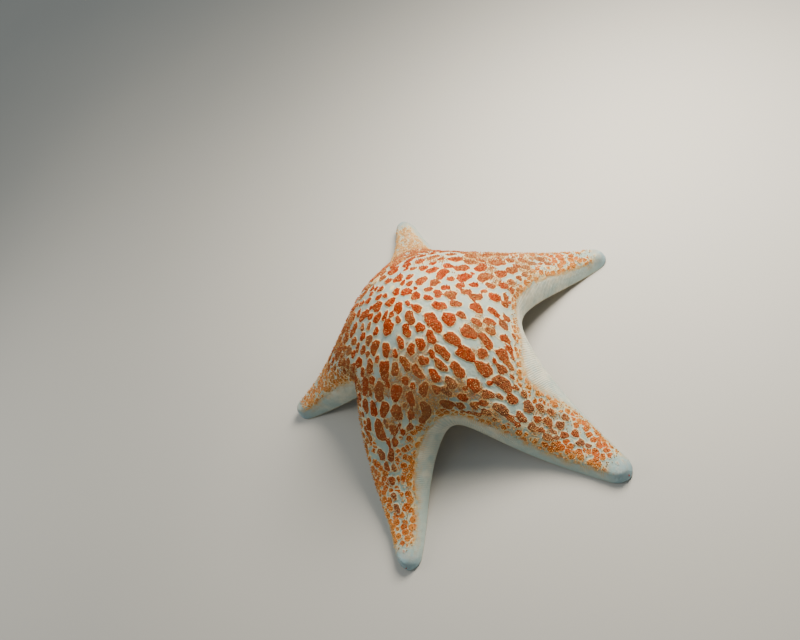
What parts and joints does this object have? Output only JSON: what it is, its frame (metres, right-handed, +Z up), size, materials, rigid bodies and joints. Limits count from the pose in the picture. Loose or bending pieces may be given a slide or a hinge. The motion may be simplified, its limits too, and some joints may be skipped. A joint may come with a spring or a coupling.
{
  "type": "leather star starfish",
  "caption": "Life-size still model of a leather star, its disc humped up and its mottled orange and blue-grey arms resting on their ends.",
  "frame": {"origin": "on the floor, under the middle of the bounding box", "axes": "+Z up from the floor; +Y towards the back arm's side, away from the side that is seen from the front; +X to the right of that view"},
  "size_m": [0.1742, 0.2012, 0.0645],
  "materials": {
    "disc_skin": "smooth wet leathery skin with a soft sheen, brick-orange blotches on pale blue-grey",
    "arm_skin": "smooth wet leathery skin with a soft sheen, rust-orange blotches, an orange-yellow fringe and a pale blue-grey margin",
    "sieve_plate": "matt pale ochre limy plate with fine winding grooves"
  },
  "bodies": {
    "root": {"disc": "disc_skin", "arm_right": "arm_skin", "arm_back": "arm_skin", "arm_left": "arm_skin", "arm_front": "arm_skin", "arm_front_right": "arm_skin", "madreporite": "sieve_plate"}
  },
  "joints": []
}
